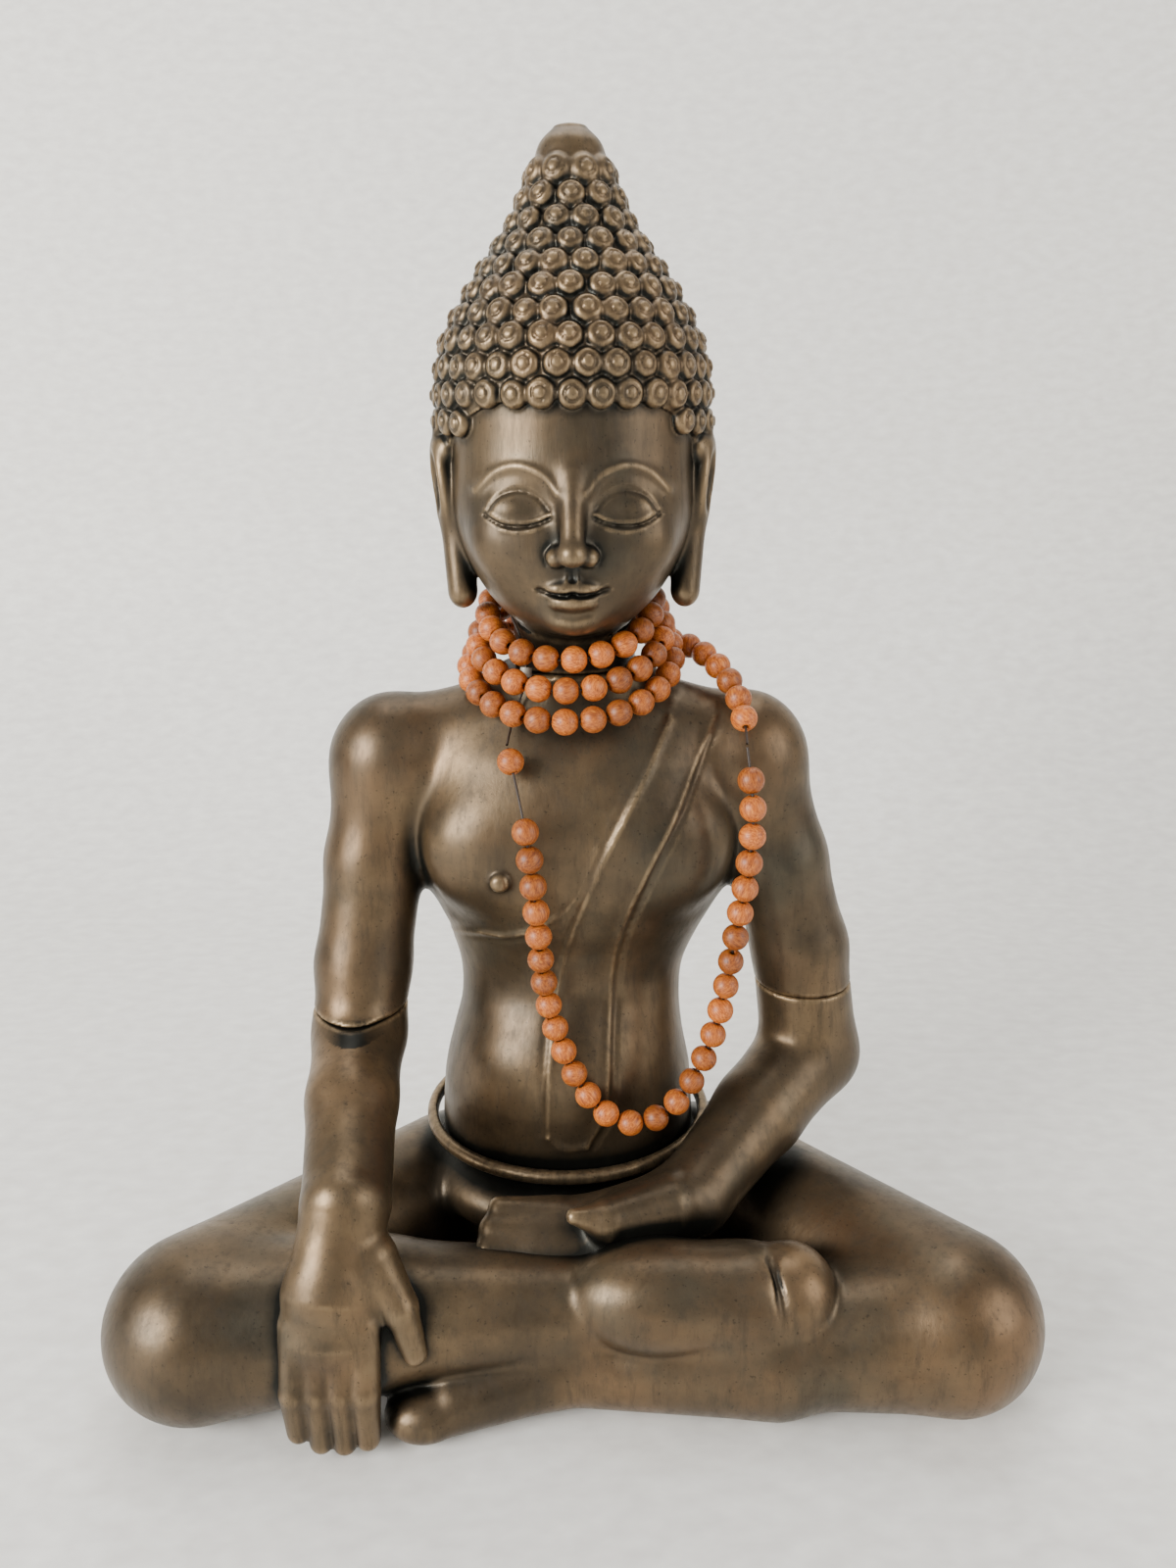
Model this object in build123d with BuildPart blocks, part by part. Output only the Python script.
"""Seated figure, cast hollow in sections, wearing a string of wooden beads.

The figure sits cross-legged and faces -Y on the plane Z = 0, with +Z up. Its left is +X.
The castings are glued at the waist, the neck and just above the elbows.
"""
from build123d import *
from math import acos, asin, cos, degrees, pi, radians, sin, tan
import os

# Castings
wall = 6.0                     # thickness of the cast walls
glue_gap = 0.2                 # clearance all round a glued spigot
elbow_seam = 106.0             # height of the seams above the elbows

# Legs and lap
knee_span = 117.0              # middle of the body to the middle of a knee
knee_radius = 26.5
knee_height = 25.5
knee_forward = -51.0
hip_radius = 30.0
lap_height = 31.0              # top of the lap between the legs
lap_back = 76.0                # back edge of the lap

# Waist, where the torso plugs into the legs
waist_centre = (-3.0, 30.0)
waist_half_width = 45.0
waist_half_depth = 40.0
waist_floor = 50.0             # floor of the socket that the torso stands in
waist_rim = 57.0               # top of the socket's rim

# Torso sections above the rim: height, half width, half depth, middle across, middle front to back
torso_sections = [
    (66.0, 43.5, 38.5, -3.0, 30.0),
    (88.0, 40.5, 37.0, -2.5, 29.5),
    (112.0, 39.0, 33.0, -1.0, 34.0),
    (138.0, 48.0, 36.0, 0.5, 30.0),
    (160.0, 55.0, 38.5, 1.0, 28.0),
    (184.0, 57.0, 33.0, 1.0, 29.0),
    (199.0, 46.0, 23.5, 1.0, 31.0),
    (210.0, 27.0, 19.5, 1.0, 32.0),
]

# Arms
shoulder_height = 188.0
shoulder_radius = 18.0
right_shoulder = (-63.0, 28.0, shoulder_height)
left_shoulder = (65.0, 28.0, shoulder_height)
right_elbow = (-71.5, 8.0, 96.0)
left_elbow = (82.0, 27.0, 88.0)
elbow_radius = 14.5
right_wrist = (-66.0, -53.0, 71.0)
left_wrist = (37.0, -24.5, 53.0)
wrist_radius = 11.5
pin_radius = 3.0               # pins inside the elbow seams
pin_length = 24.0
pin_clearance = 0.05

# Neck and head
neck_centre = (1.0, 32.5)
neck_radius = 18.5
neck_seam = 216.0              # where the head's casting stands on the torso
spigot_length = 12.0
head_radius = 41.5
head_middle = 292.0
crown_height = 372.0
nape_height = 262.0            # underside of the hair
# Outline of the hair: share of the way from the head's middle to the crown, radius
hair_outline = [(0.925, 9.0), (0.775, 15.5), (0.61, 22.0), (0.45, 32.5), (0.275, 40.0)]

# Underside
plate_thickness = 3.0
felt_thickness = 2.0
plate_gap = 0.3
ledge = 4.0                    # width of the ledge that the plate sits against

# Bead string
bead_diameter = 8.4
bead_hole = 2.0
bead_gap = 0.1                 # between neighbouring beads
bead_pitch = bead_diameter + bead_gap
string_diameter = 0.8
points_per_turn = 12
ring_centre = (0.5, 30.5)
ring_start = 40.0              # degrees from +X, where the strand joins behind the neck
ring_turns = 40 / 12           # from there round by the figure's right, winding upwards
ring_radius = neck_radius + 17.5             # where the turns start
ring_shrink = 3.3              # each turn is this much smaller than the one below
ring_height = 212.0            # where the turns start, at the sides of the neck
row_gap = 0.4                  # between the beads of one turn and the next
ring_rise = bead_diameter + row_gap          # each turn is this much higher than the one below
ring_tilt = 20.0               # degrees; the front of each turn is the lower side
crimp_radius = 1.8
crimp_length = 3.0
crimp_distance = 26.0          # along the neck string from the loop's left end
loose_bead_gap = 0.4           # between the swing axis and the loose bead
loose_bead_drop = loose_bead_gap + bead_diameter / 2

os.makedirs("parts", exist_ok=True)


def save(sub_part, name):
    """Label a finished sub-part and write it as its own STEP file."""
    sub_part.part.label = name
    export_step(sub_part.part, f"parts/{name}.step")


def limb(start, start_radius, end, end_radius, mode=Mode.ADD):
    """Add a tapered limb with round ends to the sub-part being built."""
    start, end = Vector(*start), Vector(*end)
    reach = (end - start).length
    lean = degrees(asin((start_radius - end_radius) / reach))
    touch = 90 - lean
    across = Vector(0, 0, 1) if abs((end - start).normalized().Z) < 0.9 else Vector(0, 1, 0)
    side = Plane(origin=start, x_dir=end - start, z_dir=(end - start).cross(across))
    with BuildSketch(side) as outline:
        with BuildLine():
            first = CenterArc((0, 0), start_radius, touch, 180 - touch)
            last = CenterArc((reach, 0), end_radius, 0, touch)
            Line(first @ 0, last @ 1)
            Line(first @ 1, last @ 0)
        make_face()
    revolve(outline.sketch, axis=Axis(start, end - start), mode=mode)


def elliptic_loft(sections, shrink=0.0, mode=Mode.ADD):
    """Loft through elliptic sections, each made smaller all round by the shrink."""
    outlines = []
    for height, half_width, half_depth, middle_x, middle_y in sections:
        with BuildSketch(Plane((middle_x, middle_y, height))) as outline:
            Ellipse(half_width - shrink, half_depth - shrink)
        outlines.append(outline.sketch)
    loft(outlines, mode=mode)


def torso_shape(shrink=0.0, mode=Mode.ADD):
    """The trunk from the waist's rim to the neck seam, smooth between its sections."""
    waist = (waist_rim, waist_half_width, waist_half_depth, *waist_centre)
    neck = (neck_seam, neck_radius + 1, neck_radius + 1, *neck_centre)
    elliptic_loft([waist, *torso_sections, neck], shrink, mode)


def rounded_base(margin, bottom, top, mode=Mode.ADD):
    """Block with the outline of the seat, drawn in from its edge by the margin."""
    half_width = knee_span - margin
    front = knee_forward - 10 + margin
    back = lap_back - margin
    with BuildSketch(Plane.XY.offset(bottom)) as outline:
        with BuildLine():
            Polyline(
                (-half_width, front), (half_width, front), (half_width, front + 32),
                (half_width * 0.5, back - 8), (half_width * 0.3, back),
                (-half_width * 0.3, back), (-half_width * 0.5, back - 8),
                (-half_width, front + 32), close=True,
            )
        make_face()
        fillet(vertices(), 6)
    extrude(outline.sketch, amount=top - bottom, mode=mode)


# ---------------------------------------------------------------- legs and lap
right_knee = (-knee_span, knee_forward, knee_height)
left_knee = (knee_span, knee_forward, knee_height)
cavity_margin = 22.0
cavity_top = 24.0

with BuildPart() as legs_casting:
    rounded_base(0.0, 0.0, lap_height)
    limb((-50, 38, 33), hip_radius, right_knee, knee_radius)
    limb((50, 38, 33), hip_radius, left_knee, knee_radius)
    limb((5 - knee_span, knee_forward + 1, knee_height + 1.5), knee_radius - 1.5,
         (8, -48, 36), 16)                                                      # right shin
    limb((knee_span - 5, knee_forward + 1, knee_height - 2.5), knee_radius - 3.5,
         (-18, -54, 15), 13)                                                    # left shin
    limb((10, -50, 41), 12, (80, -51, 37), 9)                                   # right foot
    limb((-16, -60, 10), 10, (-50, -67.5, 7), 6)                                # left foot
    with BuildSketch(Plane.XY.offset(lap_height)):
        with Locations(waist_centre):
            Ellipse(waist_half_width + wall, waist_half_depth + wall)
    extrude(amount=waist_rim - lap_height)
    with BuildSketch(Plane.XY.offset(waist_floor)):
        with Locations(waist_centre):
            Ellipse(waist_half_width + glue_gap, waist_half_depth + glue_gap)
    extrude(amount=waist_rim, mode=Mode.SUBTRACT)
    with BuildSketch(Plane.XY.offset(cavity_top - 1)):
        with Locations(waist_centre):
            Ellipse(waist_half_width - wall, waist_half_depth - wall)
    extrude(amount=waist_floor, mode=Mode.SUBTRACT)
    rounded_base(cavity_margin, 0.0, cavity_top, Mode.SUBTRACT)
    rounded_base(cavity_margin - ledge, 0.0, felt_thickness + plate_thickness, Mode.SUBTRACT)
    split(bisect_by=Plane.XY)
save(legs_casting, "legs_casting")

with BuildPart() as base_plate:
    rounded_base(cavity_margin - ledge + plate_gap, felt_thickness,
                 felt_thickness + plate_thickness)
save(base_plate, "base_plate")

with BuildPart() as base_felt:
    rounded_base(cavity_margin - ledge + plate_gap, 0.0, felt_thickness)
save(base_felt, "base_felt")

# ---------------------------------------------------------------- torso and arms
def at_seam(shoulder, elbow):
    """Where the middle of an upper arm crosses the elbow seam, across and front to back."""
    part = (shoulder[2] - elbow_seam) / (shoulder[2] - elbow[2])
    return tuple(shoulder[k] + part * (elbow[k] - shoulder[k]) for k in range(2))


right_pin = at_seam(right_shoulder, right_elbow)
left_pin = at_seam(left_shoulder, left_elbow)

with BuildPart() as torso_casting:
    limb(right_shoulder, shoulder_radius, right_elbow, elbow_radius)
    limb(left_shoulder, shoulder_radius, left_elbow, elbow_radius)
    split(bisect_by=Plane.XY.offset(elbow_seam))
    torso_shape()
    limb((-12, 34, 196), 11, right_shoulder, shoulder_radius - 0.5)             # shoulder slopes
    limb((14, 34, 197), 11, left_shoulder, shoulder_radius - 0.5)
    with BuildSketch(Plane.XY.offset(waist_floor)):
        with Locations(waist_centre):
            Ellipse(waist_half_width, waist_half_depth)
    extrude(amount=waist_rim - waist_floor)
    torso_shape(wall, Mode.SUBTRACT)
    with BuildSketch(Plane.XY.offset(waist_floor)):
        with Locations(waist_centre):
            Ellipse(waist_half_width - wall, waist_half_depth - wall)
    extrude(amount=waist_rim - waist_floor, mode=Mode.SUBTRACT)
    with BuildSketch(Plane.XY.offset(neck_seam)):
        with Locations(neck_centre):
            Circle(neck_radius - wall)
    extrude(amount=-spigot_length - 4, mode=Mode.SUBTRACT)
    with BuildSketch(Plane.XY.offset(elbow_seam)):
        with Locations(right_pin, left_pin):
            Circle(pin_radius + pin_clearance)
    extrude(amount=pin_length / 2, mode=Mode.SUBTRACT)
save(torso_casting, "torso_casting")

# ---------------------------------------------------------------- forearms and hands
finger_spacing = 7.2
fingertip_height = 5.5         # middle of the right fingertips above the surface
right_hand = Vector(*right_wrist)
left_hand = Vector(*left_wrist)

with BuildPart() as right_forearm:
    limb(right_shoulder, shoulder_radius, right_elbow, elbow_radius)
    limb(right_elbow, elbow_radius, right_wrist, wrist_radius)
    split(bisect_by=Plane.XY.offset(elbow_seam), keep=Keep.BOTTOM)
    limb(right_wrist, wrist_radius - 0.5, right_hand + Vector(-3, -13, -27), 11)
    for finger in range(4):
        knuckle = right_hand + Vector(8 - finger * finger_spacing, -14.5, -35)
        limb(knuckle, 5.0, (knuckle.X - 1, knuckle.Y - 6.5, fingertip_height), 4.4)
    limb(right_hand + Vector(6, -11, -19), 6.0, right_hand + Vector(20, -13, -35), 4.8)
    add(legs_casting.part, mode=Mode.SUBTRACT)
    with BuildSketch(Plane.XY.offset(elbow_seam)):
        with Locations(right_pin):
            Circle(pin_radius + pin_clearance)
    extrude(amount=-pin_length / 2, mode=Mode.SUBTRACT)
save(right_forearm, "right_forearm")

with BuildPart() as left_forearm:
    limb(left_shoulder, shoulder_radius, left_elbow, elbow_radius)
    limb(left_elbow, elbow_radius, left_wrist, wrist_radius)
    split(bisect_by=Plane.XY.offset(elbow_seam), keep=Keep.BOTTOM)
    limb(left_wrist, wrist_radius - 0.5, left_hand + Vector(-31, -8.5, -3), 9.5)
    for finger in range(4):
        limb(left_hand + Vector(-35, -18.5 + finger * 6, -3.5), 4.6,
             left_hand + Vector(-69, -17.5 + finger * 4.5, -5), 4.0)
    limb(left_hand + Vector(-15, -11.5, 1), 6.0, left_hand + Vector(-41, -15.5, 5), 4.5)
    add(legs_casting.part, mode=Mode.SUBTRACT)
    with BuildSketch(Plane.XY.offset(waist_floor)):
        with Locations(waist_centre):
            Ellipse(waist_half_width + glue_gap, waist_half_depth + glue_gap)
    extrude(amount=neck_seam, mode=Mode.SUBTRACT)
    with BuildSketch(Plane.XY.offset(elbow_seam)):
        with Locations(left_pin):
            Circle(pin_radius + pin_clearance)
    extrude(amount=-pin_length / 2, mode=Mode.SUBTRACT)
save(left_forearm, "left_forearm")

for name, place in (("right_elbow_pin", right_pin), ("left_elbow_pin", left_pin)):
    with BuildPart() as pin:
        with Locations((*place, elbow_seam)):
            Cylinder(pin_radius, pin_length - 1)
    save(pin, name)

# ---------------------------------------------------------------- head
face_middle = Vector(*neck_centre, head_middle - 20)

with BuildPart() as head_casting:
    with BuildSketch(Plane.XZ.offset(-neck_centre[1])):
        with BuildLine():
            hair = Spline(
                (neck_centre[0], crown_height),
                *[(neck_centre[0] + radius, head_middle + share * (crown_height - head_middle))
                  for share, radius in hair_outline],
                (neck_centre[0] + head_radius, head_middle + 8),
                (neck_centre[0] + head_radius - 1.5, head_middle - 10),
                (neck_centre[0] + head_radius - 6, head_middle - 20),
                (neck_centre[0] + neck_radius, nape_height), tangents=((1, 0), (-1, -0.3)),
            )
            Line(hair @ 0, (neck_centre[0], neck_seam))
            Line((neck_centre[0], neck_seam), (neck_centre[0] + neck_radius, neck_seam))
            Line((neck_centre[0] + neck_radius, neck_seam), hair @ 1)
        make_face()
    revolve(axis=Axis((*neck_centre, 0), (0, 0, 1)))
    limb(face_middle + Vector(0, -8.5, 0), 29.5, face_middle + Vector(0, -15.5, -24), 19)
    limb(face_middle + Vector(0, -35.5, 0), 3, face_middle + Vector(0, -39, -15), 4.6)   # nose
    for side in (-1, 1):
        limb(face_middle + Vector(side * (head_radius - 2), -5.5, 11), 5.5,
             face_middle + Vector(side * (head_radius - 6), -7.5, -29), 4.5)             # ears
    with BuildSketch(Plane.XY.offset(neck_seam)):
        with Locations(neck_centre):
            Circle(neck_radius - wall - glue_gap)
    extrude(amount=-spigot_length)
    with BuildSketch(Plane.XY.offset(neck_seam - spigot_length)):
        with Locations(neck_centre):
            Circle(neck_radius - 2 * wall)
    extrude(amount=head_middle - neck_seam, mode=Mode.SUBTRACT)
    with Locations((*neck_centre, head_middle)):
        Sphere(head_radius - wall - 6, mode=Mode.SUBTRACT)
save(head_casting, "head_casting")

# ---------------------------------------------------------------- bead string
swing_left = Vector(-19.5, -1.0, 197.5)      # the loop hangs from these two points
swing_right = Vector(53.0, -3.0, 198.0)
loop_route = [
    swing_left + Vector(0.2, -0.7, -0.8), Vector(-14.5, -15.5, 181.0), Vector(-12.0, -18.5, 164.0),
    Vector(-10.5, -17.5, 145.0), Vector(-9.5, -14.0, 126.0), Vector(-6.0, -12.5, 107.0),
    Vector(1.0, -14.0, 89.0), Vector(10.5, -16.5, 77.5), Vector(21.5, -16.5, 74.5),
    Vector(32.0, -15.0, 80.0), Vector(40.5, -12.5, 93.0), Vector(46.0, -10.5, 109.0),
    Vector(49.0, -9.5, 126.0), Vector(51.5, -10.5, 145.0), Vector(54.0, -12.0, 164.0),
    Vector(55.0, -10.5, 181.0), swing_right - Vector(0, 0.5, 1.0),
]
strand_route = [
    swing_right, Vector(53.5, 7.0, 205.0), Vector(50.0, 20.5, 213.0),
    Vector(43.5, 34.0, 218.5), Vector(36.5, 45.0, 220.0),
]
tail_route = [
    Vector(-20.5, 26.5, 235.5), Vector(-14.5, 16.5, 225.0), Vector(-13.8, 13.6, 218.0),
    Vector(-14.8, 12.4, 211.5), Vector(-17.3, 9.3, 205.5), Vector(-18.9, 5.2, 200.5), swing_left,
]


def ring_point(part):
    """Point on the string's turns about the neck, from 0 at their start to 1 at their end."""
    turn = ring_turns * part
    angle = radians(ring_start + 360 * turn)
    radius = ring_radius - ring_shrink * turn
    lean = ring_radius * sin(angle) * tan(radians(ring_tilt))
    return Vector(
        ring_centre[0] + radius * cos(angle),
        ring_centre[1] + radius * sin(angle),
        ring_height + ring_rise * turn + lean,
    )


ring_runs = round(ring_turns * points_per_turn)
ring_route = [ring_point(k / ring_runs) for k in range(ring_runs + 1)]
neck_route = strand_route + ring_route + tail_route


def string_path(points):
    """Straight runs joined by the largest arcs that the runs allow, with their radii."""
    radii = []
    for before, here, after in zip(points, points[1:], points[2:]):
        turn = (here - before).get_angle(after - here)
        run = min((here - before).length, (after - here).length)
        radii.append(0.45 * run / tan(radians(turn / 2)))
    return FilletPolyline(*points, radius=radii), radii


def string_tube(points, name):
    """Make and save one stretch of string, and return its path."""
    with BuildPart() as tube:
        with BuildLine():
            path, radii = string_path(points)
        with BuildSketch(Plane(origin=path @ 0, z_dir=path % 0)):
            Circle(string_diameter / 2)
        sweep()
    length = path.length
    ideal = pi * (string_diameter / 2) ** 2 * length
    print(name, "length", round(length, 1), "tightest radius", round(min(radii), 1),
          "volume ratio", round(tube.part.volume / ideal, 3))
    save(tube, name)
    return path


def bead_places(path, first, last):
    """Places for beads along the path, one pitch apart, between two distances."""
    count = int((last - first) / bead_pitch)
    spare = (last - first - count * bead_pitch) / 2
    return [place_on(path, first + spare + bead_pitch * (k + 0.5)) for k in range(count)]


with BuildPart() as bead:
    with BuildSketch(Plane.XZ):
        with BuildLine():
            mouth = degrees(acos(bead_hole / bead_diameter))
            rim = CenterArc((0, 0), bead_diameter / 2, -mouth, 2 * mouth)
            Line(rim @ 1, rim @ 0)
        make_face()
    revolve(axis=Axis.Z)


def bead_group(places, name):
    """Make and save a group of drilled beads as one node."""
    with BuildPart() as group:
        with Locations(*places):
            add(bead.part)
    save(group, name)


def place_on(path, distance):
    """Place at a distance along the string, with Z along it."""
    mode = PositionMode.LENGTH
    return Plane(origin=path.position_at(distance, position_mode=mode),
                 z_dir=path.tangent_at(distance, position_mode=mode)).location


loop_path = string_tube(loop_route, "loop_string")
neck_path = string_tube(neck_route, "neck_string")

bare_string = (loop_route[1] - loop_route[0]).length
loop_places = bead_places(loop_path, bare_string - 1.5, loop_path.length - 3.0)
for number, place in enumerate(loop_places, start=1):
    bead_group([place], f"loop_bead_{number:02d}")
bead_group([place_on(loop_path, loose_bead_drop)], "loose_bead")

tail_length = 66.0             # bare string from the last bead to the loop's left end
neck_places = bead_places(neck_path, 4.0, neck_path.length - tail_length)
neck_groups = (
    ("shoulder_strand_beads", 0, 7), ("lower_neck_beads", 7, 31),
    ("middle_neck_beads", 31, 53), ("upper_neck_beads", 53, len(neck_places)),
)
for name, first, last in neck_groups:
    bead_group(neck_places[first:last], name)

with BuildPart() as crimp_bead:
    with Locations(place_on(neck_path, neck_path.length - crimp_distance)):
        Cylinder(crimp_radius, crimp_length)
        Cylinder(string_diameter / 2 + 0.15, crimp_length + 1, mode=Mode.SUBTRACT)
save(crimp_bead, "crimp_bead")
